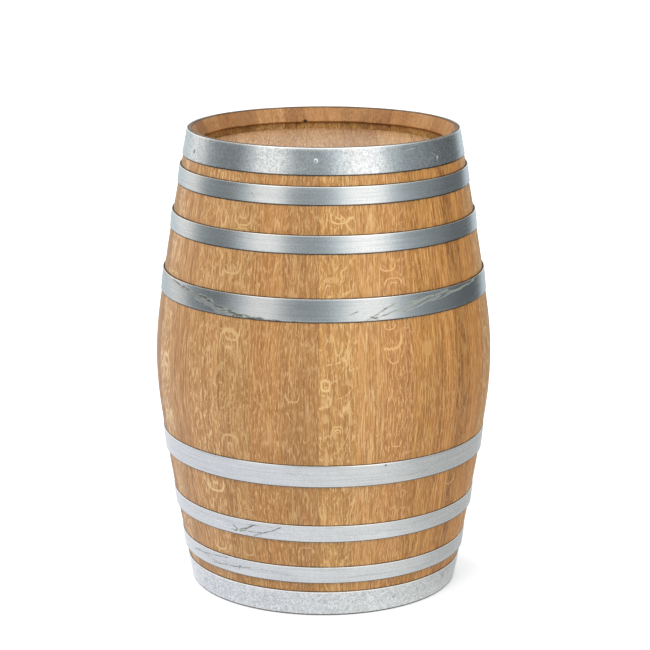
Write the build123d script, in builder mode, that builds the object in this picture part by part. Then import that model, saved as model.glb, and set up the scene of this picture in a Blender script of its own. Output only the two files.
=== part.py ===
from build123d import *
import os
from math import asin, atan2, cos, degrees, radians, sin, sqrt

# An upright oak wine barrel: thirty staves bent round two boarded heads and
# held by eight riveted hoops, with a bung in the widest stave.
# The frame is +Z up along the barrel's axis, with the origin at the middle of
# the circle that the barrel stands on. The bung faces +Y.

# ---- driving dimensions, in mm and degrees ----
HEIGHT = 950
BILGE_RADIUS = 346
STAVE_THICKNESS = 27

# the staves' bend: a tight arc about mid-height runs into a flatter arc to each end
BELLY_ARC_RADIUS = 740
BELLY_ARC_REACH = 100
END_ARC_RADIUS = 5300

# the chime: the stave's end inside the rim, down to the groove that holds the head
RIM_WIDTH = 7
BEVEL_DEPTH = 29
HOWEL_START = 34
HOWEL_END = 82
HOWEL_RELIEF = 2
CROZE_DEPTH_BELOW_RIM = 49.5
CROZE_WIDTH = 5
CROZE_CUT = 4.5

# widths of the staves at the bilge, from the bung stave, anticlockwise seen from above
STAVE_WIDTHS = [106, 60, 86, 72, 75, 75, 72, 76, 72, 62, 75, 81, 75, 66, 76,
                77, 53, 66, 68, 47, 50, 65, 78, 75, 75, 72, 94, 72, 75, 75]

# heads: boards that run front to back, with dowels and a rush strip in each joint
HEAD_SETBACK = 44
HEAD_THICKNESS = 22
HEAD_FACE_RADIUS = 250
HEAD_INNER_FACE_RADIUS = 246
TONGUE_CLEARANCE = 0.3
TONGUE_LENGTH = 5.5
BOARD_JOINTS = [-181, -112, -35, 42, 111, 182]
REED_THICKNESS = 0.8
REED_SETBACK = 1.5
REED_END_RADIUS = 245
DOWEL_RADIUS = 4
DOWEL_LENGTH = 50
DOWEL_SPREAD = 110

# hoops: distance of the near edge from the barrel's end, width of the band,
# how far the near edge stands off the wood, azimuth of the riveted lap
HOOP_THICKNESS = 1.8
HOOPS = {
    "head_hoop": (1, 52, 0.8, 47),
    "collar_hoop": (74, 35, 2.0, 53),
    "quarter_hoop": (166, 35, 2.0, 45),
    "bilge_hoop": (286, 45, 2.0, 50),
}
LAP_LENGTH = 60
LAP_SLOT = 1.5
RIVET_SPACING = 30
RIVET_SHANK_RADIUS = 3
RIVET_HEAD_RADIUS = 6
RIVET_HEAD_HEIGHT = 2.5
RIVET_SINK_RADIUS = 4.2

# nails that keep the head hoops in place: distance from the barrel's end, azimuth
NAILS = {
    "top": [(25, 267), (38, 322), (30, 40), (27, 152), (33, 205)],
    "bottom": [(30, 270.7), (34, 330), (28, 35), (31, 148), (29, 211)],
}
NAIL_HEAD_RADIUS = 4.5
NAIL_HEAD_HEIGHT = 1.4
NAIL_SHANK_RADIUS = 1.5
NAIL_POINT_RADIUS = 0.4
NAIL_LENGTH = 17

# bung and its tapered hole in the bung stave, which faces +Y
BUNG_AZIMUTH = 90
BUNG_HOLE_RADIUS = 25.5
BUNG_TAPER = 0.045
BUNG_CLEARANCE = 0.3
BUNG_STANDS_OUT = 8
BUNG_LENGTH = 45
BUNG_EDGE_ROUND = 2.5
BUNG_RECESS_RADIUS = 15
BUNG_RECESS_DEPTH = 4

# ---- worked out from them ----
MID_HEIGHT = HEIGHT / 2
BELLY_ANGLE = asin(BELLY_ARC_REACH / BELLY_ARC_RADIUS)
BELLY_CENTRE = BILGE_RADIUS - BELLY_ARC_RADIUS
END_CENTRE = BELLY_CENTRE - (END_ARC_RADIUS - BELLY_ARC_RADIUS) * cos(BELLY_ANGLE)
END_CENTRE_DROP = (END_ARC_RADIUS - BELLY_ARC_RADIUS) * sin(BELLY_ANGLE)


def wall_radius(z, depth=0):
    """Radius of the surface that lies a depth inside the staves' outer face."""
    from_middle = abs(z - MID_HEIGHT)
    belly = BELLY_ARC_RADIUS - depth
    if from_middle <= belly * sin(BELLY_ANGLE):
        return BELLY_CENTRE + sqrt(belly**2 - from_middle**2)
    end = END_ARC_RADIUS - depth
    return END_CENTRE + sqrt(end**2 - (from_middle + END_CENTRE_DROP) ** 2)


def on_wall(z, depth=0):
    return (wall_radius(z, depth), z)


def turned(azimuth):
    """The vertical plane through the barrel's axis that faces the given azimuth."""
    direction = Vector(cos(radians(azimuth)), sin(radians(azimuth)), 0)
    return Plane((0, 0, 0), x_dir=direction, z_dir=direction.cross(Vector(0, 0, 1)))


def end_height(end, distance):
    """Height of a point at a distance from the top or the bottom end."""
    return HEIGHT - distance if end == "top" else distance


# ---- hoops: shared geometry ----
def hoop_edges(end, near, width, standoff):
    """Inner edge points of a band: tight at the bilge side, proud at the end side."""
    near_z = end_height(end, near)
    far_z = end_height(end, near + width)
    return (wall_radius(near_z) + standoff, near_z), on_wall(far_z)


def hoop_plane(end, hoop, azimuth, from_end, layers):
    """Plane on a band's face, looking outwards, that many thicknesses out."""
    (near_r, near_z), (far_r, far_z) = hoop_edges(end, *HOOPS[hoop][:3])
    z = end_height(end, from_end)
    lean = atan2(near_r - far_r, abs(near_z - far_z))
    upwards = 1 if end == "top" else -1
    radius = near_r + (far_r - near_r) * (z - near_z) / (far_z - near_z)
    radius += layers * HOOP_THICKNESS / cos(lean)
    out = Vector(cos(radians(azimuth)), sin(radians(azimuth)), 0)
    normal = out * cos(lean) + Vector(0, 0, -upwards * sin(lean))
    around = Vector(-sin(radians(azimuth)), cos(radians(azimuth)), 0)
    return Plane(out * radius + Vector(0, 0, z), x_dir=around, z_dir=normal)


def rivet_planes(end, hoop):
    """Planes of a lap's two rivets, on the band's inner face."""
    near, width, standoff, lap = HOOPS[hoop]
    radius = wall_radius(end_height(end, near + width / 2))
    step = degrees(RIVET_SPACING / 2 / radius)
    rise = width / 7
    return [
        hoop_plane(end, hoop, lap - step, near + width / 2 - rise, 0),
        hoop_plane(end, hoop, lap + step, near + width / 2 + rise, 0),
    ]


def nail_planes(end):
    return [hoop_plane(end, "head_hoop", azimuth, z, 1) for z, azimuth in NAILS[end]]


def sphere_radius(half_width, height):
    """Radius of the sphere that a round dome of this width and height is cut from."""
    return (half_width**2 + height**2) / (2 * height)


# one rivet: clenched flush inside, with a domed head on top of both layers
with BuildPart() as rivet:
    with BuildSketch(Plane.XZ):
        with BuildLine():
            grip = 2 * HOOP_THICKNESS
            sink = HOOP_THICKNESS / 2
            Polyline(
                (0, grip + RIVET_HEAD_HEIGHT),
                (0, 0),
                (RIVET_SINK_RADIUS, 0),
                (RIVET_SHANK_RADIUS, sink),
                (RIVET_SHANK_RADIUS, grip),
                (RIVET_HEAD_RADIUS, grip),
            )
            dome = sphere_radius(RIVET_HEAD_RADIUS, RIVET_HEAD_HEIGHT)
            RadiusArc((RIVET_HEAD_RADIUS, grip), (0, grip + RIVET_HEAD_HEIGHT), -dome)
        make_face()
    revolve(axis=Axis.Z)

# one nail: a low round head, and a tapered shank through the band into the stave
with BuildPart() as nail:
    with BuildSketch(Plane.XZ):
        with BuildLine():
            Polyline(
                (0, NAIL_HEAD_HEIGHT),
                (0, -NAIL_LENGTH),
                (NAIL_POINT_RADIUS, -NAIL_LENGTH),
                (NAIL_SHANK_RADIUS, 0),
                (NAIL_HEAD_RADIUS, 0),
            )
            dome = sphere_radius(NAIL_HEAD_RADIUS, NAIL_HEAD_HEIGHT)
            RadiusArc((NAIL_HEAD_RADIUS, 0), (0, NAIL_HEAD_HEIGHT), -dome)
        make_face()
    revolve(axis=Axis.Z)

ALL_NAIL_PLANES = nail_planes("top") + nail_planes("bottom")


# ---- staves ----
CROZE_CENTRE = HEIGHT - CROZE_DEPTH_BELOW_RIM
CROZE_TOP = CROZE_CENTRE + CROZE_WIDTH / 2
CROZE_BOTTOM = CROZE_CENTRE - CROZE_WIDTH / 2
CROZE_WALL = wall_radius(CROZE_CENTRE, STAVE_THICKNESS) + HOWEL_RELIEF
CROZE_FLOOR = CROZE_WALL + CROZE_CUT
INNER_BELLY_REACH = (BELLY_ARC_RADIUS - STAVE_THICKNESS) * sin(BELLY_ANGLE)


def stave_section():
    """Half of a stave's long section: upper end, outer face, and hollow side."""
    belly_top = MID_HEIGHT + BELLY_ARC_REACH
    inner_belly_top = MID_HEIGHT + INNER_BELLY_REACH
    bevel_foot = HEIGHT - BEVEL_DEPTH
    howel_top = HEIGHT - HOWEL_START
    howel_foot = HEIGHT - HOWEL_END
    ThreePointArc(
        on_wall(MID_HEIGHT), on_wall(MID_HEIGHT + BELLY_ARC_REACH / 2), on_wall(belly_top)
    )
    ThreePointArc(on_wall(belly_top), on_wall((belly_top + HEIGHT) / 2), on_wall(HEIGHT))
    Polyline(
        on_wall(HEIGHT),
        (wall_radius(HEIGHT) - RIM_WIDTH, HEIGHT),
        on_wall(bevel_foot, STAVE_THICKNESS),
        (CROZE_WALL, howel_top),
        (CROZE_WALL, CROZE_TOP),
        (CROZE_FLOOR, CROZE_TOP),
        (CROZE_FLOOR, CROZE_BOTTOM),
        (CROZE_WALL, CROZE_BOTTOM),
        on_wall(howel_foot, STAVE_THICKNESS),
    )
    ThreePointArc(
        on_wall(howel_foot, STAVE_THICKNESS),
        on_wall((howel_foot + inner_belly_top) / 2, STAVE_THICKNESS),
        on_wall(inner_belly_top, STAVE_THICKNESS),
    )
    ThreePointArc(
        on_wall(inner_belly_top, STAVE_THICKNESS),
        on_wall(MID_HEIGHT + INNER_BELLY_REACH / 2, STAVE_THICKNESS),
        on_wall(MID_HEIGHT, STAVE_THICKNESS),
    )
    Line(on_wall(MID_HEIGHT, STAVE_THICKNESS), on_wall(MID_HEIGHT))


stave_names = ["bung_stave"] + [f"stave_{i:02d}" for i in range(2, len(STAVE_WIDTHS) + 1)]
degrees_per_width = 360 / sum(STAVE_WIDTHS)
stave_start = BUNG_AZIMUTH - STAVE_WIDTHS[0] * degrees_per_width / 2

for name, width in zip(stave_names, STAVE_WIDTHS):
    stave_span = width * degrees_per_width
    with BuildPart() as stave:
        with BuildSketch(turned(stave_start)):
            with BuildLine():
                stave_section()
            make_face()
            mirror(about=Plane.XZ.offset(-MID_HEIGHT))
        revolve(axis=Axis.Z, revolution_arc=stave_span)
        if name == "bung_stave":
            with BuildSketch(turned(BUNG_AZIMUTH)):
                with BuildLine():
                    inside = BILGE_RADIUS - 2 * STAVE_THICKNESS
                    outside = BILGE_RADIUS + STAVE_THICKNESS
                    Polyline(
                        (inside, MID_HEIGHT),
                        (outside, MID_HEIGHT),
                        (outside, MID_HEIGHT + BUNG_HOLE_RADIUS + STAVE_THICKNESS * BUNG_TAPER),
                        (inside, MID_HEIGHT + BUNG_HOLE_RADIUS - 2 * STAVE_THICKNESS * BUNG_TAPER),
                        close=True,
                    )
                make_face()
            revolve(axis=Axis((0, 0, MID_HEIGHT), (0, 1, 0)), mode=Mode.SUBTRACT)
        with Locations(*ALL_NAIL_PLANES):
            add(nail.part, mode=Mode.SUBTRACT)
    stave.part.label = name
    export_step(stave.part, f"parts/{name}.step")
    stave_start += stave_span


# ---- heads ----
TONGUE_RADIUS = CROZE_FLOOR - TONGUE_CLEARANCE
BOARD_LIMITS = [-TONGUE_RADIUS] + BOARD_JOINTS + [TONGUE_RADIUS]
DOWEL_HEIGHT = HEIGHT - HEAD_SETBACK - HEAD_THICKNESS / 2


def head_section():
    """Half of the top head's section: flat faces, bevelled to a tongue."""
    face = HEIGHT - HEAD_SETBACK
    Polyline(
        (0, face),
        (HEAD_FACE_RADIUS, face),
        (TONGUE_RADIUS - TONGUE_LENGTH, CROZE_TOP),
        (TONGUE_RADIUS, CROZE_TOP),
        (TONGUE_RADIUS, CROZE_BOTTOM),
        (TONGUE_RADIUS - TONGUE_LENGTH, CROZE_BOTTOM),
        (HEAD_INNER_FACE_RADIUS, face - HEAD_THICKNESS),
        (0, face - HEAD_THICKNESS),
        close=True,
    )


def to_end(end):
    """Plane about which a part made at the top end is put in place."""
    return Plane.XY if end == "top" else Plane((0, 0, HEIGHT), x_dir=(1, 0, 0), z_dir=(0, 0, -1))


def dowel_planes():
    """Planes at the start of each dowel, looking along it."""
    return [
        Plane((joint - DOWEL_LENGTH / 2, side * DOWEL_SPREAD, DOWEL_HEIGHT), z_dir=(1, 0, 0))
        for joint in BOARD_JOINTS
        for side in (-1, 1)
    ]


with BuildPart() as dowel:
    Cylinder(DOWEL_RADIUS, DOWEL_LENGTH, align=(Align.CENTER, Align.CENTER, Align.MIN))

for number, (left, right) in enumerate(zip(BOARD_LIMITS, BOARD_LIMITS[1:]), start=1):
    gap_left = REED_THICKNESS / 2 if number > 1 else 0
    gap_right = REED_THICKNESS / 2 if number < len(BOARD_LIMITS) - 1 else 0
    with BuildPart() as board:
        with BuildSketch(Plane.XZ):
            with BuildLine():
                head_section()
            make_face()
        revolve(axis=Axis.Z)
        with Locations(((left + gap_left + right - gap_right) / 2, 0, DOWEL_HEIGHT)):
            Box(right - gap_right - left - gap_left, HEIGHT, 2 * HEAD_THICKNESS, mode=Mode.INTERSECT)
        with Locations(*dowel_planes()):
            add(dowel.part, mode=Mode.SUBTRACT)
    for end in ("top", "bottom"):
        with BuildPart() as placed_board:
            with Locations(to_end(end)):
                add(board.part)
        placed_board.part.label = f"{end}_head_board_{number}"
        export_step(placed_board.part, f"parts/{end}_head_board_{number}.step")

# rush strips, one in each joint between boards, pierced by the dowels
with BuildPart() as reeds:
    reed_depth = HEAD_THICKNESS - REED_SETBACK
    for joint in BOARD_JOINTS:
        reed_length = 2 * sqrt(REED_END_RADIUS**2 - joint**2)
        with Locations((joint, 0, HEIGHT - HEAD_SETBACK - HEAD_THICKNESS)):
            Box(
                REED_THICKNESS,
                reed_length,
                reed_depth,
                align=(Align.CENTER, Align.CENTER, Align.MIN),
            )
    with Locations(*dowel_planes()):
        add(dowel.part, mode=Mode.SUBTRACT)

with BuildPart() as dowels:
    with Locations(*dowel_planes()):
        add(dowel.part)

for end in ("top", "bottom"):
    with BuildPart() as placed_reeds:
        with Locations(to_end(end)):
            add(reeds.part)
    placed_reeds.part.label = f"{end}_head_reeds"
    export_step(placed_reeds.part, f"parts/{end}_head_reeds.step")
    with BuildPart() as placed_dowels:
        with Locations(to_end(end)):
            add(dowels.part)
    placed_dowels.part.label = f"{end}_head_dowels"
    export_step(placed_dowels.part, f"parts/{end}_head_dowels.step")


# ---- hoops, each a band whose tail laps over its start ----
def band_section(end, hoop, layer):
    """Section of one layer of a band, with level edges."""
    (near_r, near_z), (far_r, far_z) = hoop_edges(end, *HOOPS[hoop][:3])
    lean = atan2(near_r - far_r, abs(near_z - far_z))
    step = HOOP_THICKNESS / cos(lean)
    Polyline(
        (near_r + layer * step, near_z),
        (near_r + (layer + 1) * step, near_z),
        (far_r + (layer + 1) * step, far_z),
        (far_r + layer * step, far_z),
        close=True,
    )


for end in ("top", "bottom"):
    for hoop, (near, width, standoff, lap) in HOOPS.items():
        lap_radius = wall_radius(end_height(end, near + width / 2))
        lap_start = lap - degrees(LAP_LENGTH / 2 / lap_radius)
        lap_span = degrees(LAP_LENGTH / lap_radius)
        slot_span = degrees(LAP_SLOT / lap_radius)
        with BuildPart() as band:
            with BuildSketch(Plane.XZ):
                with BuildLine():
                    band_section(end, hoop, 0)
                make_face()
            revolve(axis=Axis.Z)
            with BuildSketch(turned(lap_start)):
                with BuildLine():
                    band_section(end, hoop, 1)
                make_face()
            revolve(axis=Axis.Z, revolution_arc=lap_span)
            with BuildSketch(turned(lap_start + lap_span - 2 * slot_span)):
                with BuildLine():
                    band_section(end, hoop, 0)
                make_face()
            revolve(axis=Axis.Z, revolution_arc=slot_span, mode=Mode.SUBTRACT)
            with Locations(*rivet_planes(end, hoop)):
                add(rivet.part, mode=Mode.SUBTRACT)
            if hoop == "head_hoop":
                with Locations(*nail_planes(end)):
                    add(nail.part, mode=Mode.SUBTRACT)
        band.part.label = f"{end}_{hoop}"
        export_step(band.part, f"parts/{end}_{hoop}.step")

with BuildPart() as hoop_rivets:
    for end in ("top", "bottom"):
        for hoop in HOOPS:
            for plane in rivet_planes(end, hoop):
                with Locations(plane):
                    add(rivet.part)
hoop_rivets.part.label = "hoop_rivets"
export_step(hoop_rivets.part, "parts/hoop_rivets.step")

with BuildPart() as hoop_nails:
    for plane in ALL_NAIL_PLANES:
        with Locations(plane):
            add(nail.part)
hoop_nails.part.label = "hoop_nails"
export_step(hoop_nails.part, "parts/hoop_nails.step")


# ---- bung: a tapered plug, a running gap clear of its hole ----
with BuildPart() as bung:
    with BuildSketch(turned(BUNG_AZIMUTH)):
        with BuildLine():
            outer_end = BILGE_RADIUS + BUNG_STANDS_OUT
            inner_end = outer_end - BUNG_LENGTH
            seat_radius = BUNG_HOLE_RADIUS - BUNG_CLEARANCE
            outer_radius = seat_radius + BUNG_STANDS_OUT * BUNG_TAPER
            inner_radius = outer_radius - BUNG_LENGTH * BUNG_TAPER
            Polyline(
                (inner_end, MID_HEIGHT),
                (inner_end, MID_HEIGHT + inner_radius),
                (outer_end, MID_HEIGHT + outer_radius),
                (outer_end, MID_HEIGHT + BUNG_RECESS_RADIUS),
                (outer_end - BUNG_RECESS_DEPTH, MID_HEIGHT + BUNG_RECESS_RADIUS - 1),
                (outer_end - BUNG_RECESS_DEPTH, MID_HEIGHT),
                close=True,
            )
        make_face()
    revolve(axis=Axis((0, 0, MID_HEIGHT), (0, 1, 0)))
    rims = bung.edges().filter_by(GeomType.CIRCLE).group_by(SortBy.RADIUS)[-1]
    tip = bung.edges().filter_by(GeomType.CIRCLE).sort_by(Axis.Y)[0]
    fillet(rims, BUNG_EDGE_ROUND)
    fillet(tip, BUNG_EDGE_ROUND)
bung.part.label = "bung"
export_step(bung.part, "parts/bung.step")
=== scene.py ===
import random
from functools import partialmethod
from math import asin, atan2, cos, degrees, pi, radians, sin, sqrt
from types import SimpleNamespace

import bmesh
import bpy
import numpy as np
from mathutils import Matrix, Vector


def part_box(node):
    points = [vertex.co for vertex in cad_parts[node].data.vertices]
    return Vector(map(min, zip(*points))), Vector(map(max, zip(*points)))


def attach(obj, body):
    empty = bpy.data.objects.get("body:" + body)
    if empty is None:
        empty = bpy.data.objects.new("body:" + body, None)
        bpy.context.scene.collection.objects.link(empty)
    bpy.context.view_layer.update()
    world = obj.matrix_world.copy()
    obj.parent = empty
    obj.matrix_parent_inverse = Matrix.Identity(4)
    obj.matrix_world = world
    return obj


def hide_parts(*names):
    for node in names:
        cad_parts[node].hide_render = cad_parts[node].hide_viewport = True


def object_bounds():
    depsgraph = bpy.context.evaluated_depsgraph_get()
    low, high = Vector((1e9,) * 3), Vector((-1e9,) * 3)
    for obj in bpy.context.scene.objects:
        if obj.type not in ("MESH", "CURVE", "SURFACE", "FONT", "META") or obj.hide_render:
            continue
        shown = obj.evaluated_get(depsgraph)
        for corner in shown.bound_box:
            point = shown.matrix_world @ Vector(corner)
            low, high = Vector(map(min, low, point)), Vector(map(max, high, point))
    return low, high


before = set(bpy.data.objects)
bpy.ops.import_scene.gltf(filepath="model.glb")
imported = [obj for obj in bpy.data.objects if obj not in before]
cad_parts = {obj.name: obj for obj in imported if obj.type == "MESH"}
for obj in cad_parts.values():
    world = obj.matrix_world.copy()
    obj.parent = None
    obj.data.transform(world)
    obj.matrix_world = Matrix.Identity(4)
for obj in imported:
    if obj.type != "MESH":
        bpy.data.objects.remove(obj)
cad_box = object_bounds()

# An oak wine barrel standing on end. Everything is in metres and, unless it says
# otherwise, an azimuth is in degrees anticlockwise from +X, seen from above.

# ---- the barrel's shape, the same as the CAD model's ----
MM = 0.001
HEIGHT = cad_box[1][2] - cad_box[0][2]
MIDDLE = HEIGHT / 2
BILGE_RADIUS = 346 * MM
STAVE_THICKNESS = 27 * MM
BELLY_ARC_RADIUS = 740 * MM
BELLY_ANGLE = asin(100 / 740)
END_ARC_RADIUS = 5300 * MM
BELLY_CENTRE = BILGE_RADIUS - BELLY_ARC_RADIUS
END_CENTRE = BELLY_CENTRE - (END_ARC_RADIUS - BELLY_ARC_RADIUS) * cos(BELLY_ANGLE)
END_CENTRE_DROP = (END_ARC_RADIUS - BELLY_ARC_RADIUS) * sin(BELLY_ANGLE)
RIM_WIDTH = 7 * MM
BEVEL_DEPTH = 29 * MM
HOWEL_START = 34 * MM
HOWEL_END = 82 * MM
HOWEL_RELIEF = 2 * MM
CROZE_DEPTH = 49.5 * MM
CROZE_WIDTH = 5 * MM
CROZE_CUT = 4.5 * MM
HEAD_SETBACK = 44 * MM
HEAD_THICKNESS = 22 * MM
HEAD_FACE_RADIUS = 250 * MM
HEAD_INNER_RADIUS = 246 * MM
TONGUE_CLEARANCE = 0.3 * MM
TONGUE_LENGTH = 5.5 * MM
HOOP_THICKNESS = 1.8 * MM
# widths at the belly in mm, going round from the bung stave
STAVE_WIDTHS = [106, 60, 86, 72, 75, 75, 72, 76, 72, 62, 75, 81, 75, 66, 76,
                77, 53, 66, 68, 47, 50, 65, 78, 75, 75, 72, 94, 72, 75, 75]
BUNG_AZIMUTH = 90
BUNG_HOLE_RADIUS = 25.5 * MM
BUNG_TAPER = 0.045
BUNG_FIT = 0.3 * MM
BUNG_ROUNDING = 2.5 * MM
# near edge's distance from the end, width, near edge's stand-off, azimuth of the lap
HOOPS = {
    "head_hoop": (1 * MM, 52 * MM, 0.8 * MM, 47),
    "collar_hoop": (74 * MM, 35 * MM, 2.0 * MM, 53),
    "quarter_hoop": (166 * MM, 35 * MM, 2.0 * MM, 45),
    "bilge_hoop": (286 * MM, 45 * MM, 2.0 * MM, 50),
}
# the radius that turns azimuths into lengths for the marks on the bands and the staves
SCUFF_RADIUS = 320 * MM
CHIP_AZIMUTH = 98.9
LAP_LENGTH = 60 * MM
LAP_SLOT = 1.5 * MM
RIVET_SPACING = 30 * MM
# each nail's distance from the end, in mm, and azimuth
NAILS = {
    "top": [(25, 267), (38, 322), (30, 40), (27, 152), (33, 205)],
    "bottom": [(30, 270.7), (34, 330), (28, 35), (31, 148), (29, 211)],
}


def wall_radius(z, depth=0.0):
    """Radius of the surface that lies a depth inside the staves' outer face."""
    from_middle = abs(z - MIDDLE)
    belly = BELLY_ARC_RADIUS - depth
    if from_middle <= belly * sin(BELLY_ANGLE):
        return BELLY_CENTRE + sqrt(belly**2 - from_middle**2)
    end = END_ARC_RADIUS - depth
    return END_CENTRE + sqrt(end**2 - (from_middle + END_CENTRE_DROP) ** 2)


# the inner end of the upper bevel, and the upper croze groove's wall and sides
BEVEL_FOOT = HEIGHT - BEVEL_DEPTH
FOOT_RADIUS = wall_radius(BEVEL_FOOT, STAVE_THICKNESS)
CROZE_WALL = wall_radius(HEIGHT - CROZE_DEPTH, STAVE_THICKNESS) + HOWEL_RELIEF
CROZE_TOP = HEIGHT - CROZE_DEPTH + CROZE_WIDTH / 2
CROZE_LOW = HEIGHT - CROZE_DEPTH - CROZE_WIDTH / 2


def smooth(x, low, high):
    """0 below low, 1 above high, and a smooth step between them, for a number or an array."""
    t = np.clip((x - low) / (high - low), 0.0, 1.0)
    return t * t * (3 - 2 * t)


# ---- node graphs ----
class Graph:
    """A node tree, with one short method for each kind of step."""

    def __init__(self, tree):
        self.tree = tree

    def node(self, kind, **settings):
        made = self.tree.nodes.new(f"ShaderNode{kind}")
        for setting, value in settings.items():
            setattr(made, setting, value)
        return made

    def put(self, value, socket):
        """Links an output to a socket, or sets the socket to a plain value."""
        if isinstance(value, bpy.types.NodeSocket):
            self.tree.links.new(value, socket)
        elif socket.type == "RGBA":
            socket.default_value = (*value, 1.0)
        else:
            socket.default_value = value

    def fill(self, node, values):
        """Puts values on a node's first sockets and gives its first output."""
        for value, socket in zip(values, node.inputs):
            self.put(value, socket)
        return node.outputs[0]

    def wire(self, node, **values):
        """Puts values on sockets by name, with _ for a space, and gives the outputs."""
        for name, value in values.items():
            self.put(value, node.inputs[name.replace("_", " ")])
        return node.outputs

    def place(self, space="Object"):
        return self.node("TexCoord").outputs[space]

    def attribute(self, name, output="Vector"):
        return self.node("Attribute", attribute_name=name).outputs[output]

    def math(self, operation, *values, clamp=False):
        return self.fill(self.node("Math", operation=operation, use_clamp=clamp), values)

    times = partialmethod(math, "MULTIPLY")
    minus = partialmethod(math, "SUBTRACT")
    ratio = partialmethod(math, "DIVIDE")
    affine = partialmethod(math, "MULTIPLY_ADD")
    larger = partialmethod(math, "MAXIMUM")
    size = partialmethod(math, "ABSOLUTE")

    def from_crest(self, value):
        """How far a value lies from the nearest half-way point between two whole numbers."""
        return self.size(self.minus(self.math("FRACT", value), 0.5))

    def azimuth(self, x, y):
        """The angle round the Z axis in radians, from the front and towards +X."""
        return self.math("ARCTAN2", x, self.times(y, -1.0))

    def swing(self, layer, share, base):
        """The base, moved up and down by a layer that lies round one half."""
        return self.affine(self.minus(layer, 0.5), share, base)

    def vector(self, operation, *values):
        return self.fill(self.node("VectorMath", operation=operation), values)

    scaled = partialmethod(vector, "MULTIPLY")

    def length(self, vector):
        return self.vector("LENGTH", vector).node.outputs["Value"]

    def split(self, vector):
        return self.wire(self.node("SeparateXYZ"), Vector=vector)[:3]

    def join(self, x, y, z):
        return self.fill(self.node("CombineXYZ"), (x, y, z))

    def noise(self, vector, stretch=(1, 1, 1), detail=2.0, roughness=0.5, distortion=0.0):
        stretched = self.scaled(vector, stretch)
        return self.wire(self.node("TexNoise"), Vector=stretched, Scale=1.0, Detail=detail,
                         Roughness=roughness, Distortion=distortion)[0]

    def cells(self, vector, stretch):
        """Three random values for each of the cells that the space is broken into."""
        cells = self.wire(self.node("TexVoronoi"), Vector=self.scaled(vector, stretch), Scale=1.0)
        return self.split(cells["Color"])

    def line(self, value, low, high, to_low=0.0, to_high=1.0):
        """A straight rise from to_low at low to to_high at high, flat outside."""
        return self.fill(self.node("MapRange"), (value, low, high, to_low, to_high))

    def ease(self, *rise):
        """The same rise as a smooth step."""
        eased = self.line(*rise)
        eased.node.interpolation_type = "SMOOTHSTEP"
        return eased

    def mix(self, factor, first, second):
        node = self.node("Mix", data_type="RGBA")
        for item, number in ((factor, 0), (first, 6), (second, 7)):
            self.put(item, node.inputs[number])
        return node.outputs[2]


class Material(Graph):
    """A graph that ends in a principled shader."""

    def __init__(self, name):
        self.material = bpy.data.materials.new(name)
        self.material.use_nodes = True
        super().__init__(self.material.node_tree)
        self.tree.nodes.clear()
        self.shader = self.node("BsdfPrincipled")
        self.tree.links.new(self.shader.outputs[0], self.node("OutputMaterial").inputs[0])

    def bump(self, height, distance, strength):
        bump = self.wire(self.node("Bump"), Strength=strength, Distance=distance, Height=height)
        self.wire(self.shader, Normal=bump[0])

    def finish(self, color, roughness, **settings):
        self.wire(self.shader, Base_Color=color, Roughness=roughness, **settings)
        return self.material


def rgb(red, green, blue):
    """A colour given as it looks on a screen, 0 to 255, made linear."""
    return [((c / 255 + 0.055) / 1.055) ** 2.4 for c in (red, green, blue)]


def tinted(color, *factors):
    """A colour times one factor, or times one for each of its channels."""
    return [c * f for c, f in zip(color, factors if len(factors) > 1 else factors * 3)]


def wood_tone(color):
    """The colour of bare oak that looks like this screen colour in the studio's light."""
    return tinted(rgb(*color), 0.640, 0.586, 0.457)


# ---- oak ----
def grain_layers(g, straight, spread):
    """The noise layers that the grain is made of, each stretched along the board."""
    place = g.attribute("grain")
    across, depth, along = g.split(place)
    drift = g.noise(place, (5, 3, 1.3))
    shifted = g.affine(drift, 0.020, across)
    wood = g.join(shifted, depth, along)
    sway = 0.0015 if straight > 1 else 0.007
    wavy = g.join(g.swing(g.noise(wood, (42, 18, 30)), sway, shifted), depth, along)
    return SimpleNamespace(
        wood=wood,
        wavy=wavy,
        face=g.join(shifted, 0.0, along),
        broad=g.noise(wood, (44, 16, 0.7)),
        streak=g.noise(wood, (150, 60, 2.0), detail=3, roughness=0.6),
        lines=g.noise(wood, (350 / spread, 140, 9), detail=3, roughness=0.75),
        fibres=g.noise(wavy, (400, 160, 90), detail=3, roughness=0.7),
        hair=g.ease(g.noise(wood, (520 / spread, 220, 12), roughness=0.6), 0.42, 0.58),
        pores=g.ease(g.noise(wavy, (780, 500, 30), roughness=0.6), 0.56, 0.70),
        breaks=g.noise(wavy, (230, 60, 60), roughness=0.6),
        zones=g.ease(g.noise(wood, (15, 8, 3.0), detail=1), 0.38, 0.56),
    )


def ray_flecks(g, grain, fleck, rings, across, along, dash):
    """The pale marks where rays meet the face: broken arcs, short dashes and long strokes."""
    field = g.noise(grain.face, (across, 1, along), detail=1.6, distortion=0.5)
    nested = g.times(g.swing(grain.lines, 0.05, field), rings * 2.2)
    crest = g.from_crest(nested)
    thick = g.line(g.noise(grain.wood, (60, 30, 22)), 0.3, 0.7, 0.04, 0.20)
    arcs = g.ease(g.ratio(crest, thick), 1.0, 0.3)
    arcs = g.times(arcs, g.ease(grain.breaks, 0.32 + 0.14 * dash, 0.50 + 0.16 * dash))
    arcs = g.times(arcs, g.line(grain.zones, 0, 1, 0.15, 1))
    dashes = g.ease(g.noise(grain.wavy, (380, 170, 64), roughness=0.6), 0.57, 0.60)
    dashes = g.times(dashes, g.line(grain.zones, 0, 1, 1.0, 0.65))
    flecks = g.times(g.larger(arcs, dashes), fleck * 1.3 + 0.1, clamp=True)
    strokes = g.ease(g.noise(grain.wavy, (540, 240, 30)), 0.58, 0.62, 0.0, 0.75)
    return g.larger(flecks, strokes)


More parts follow.
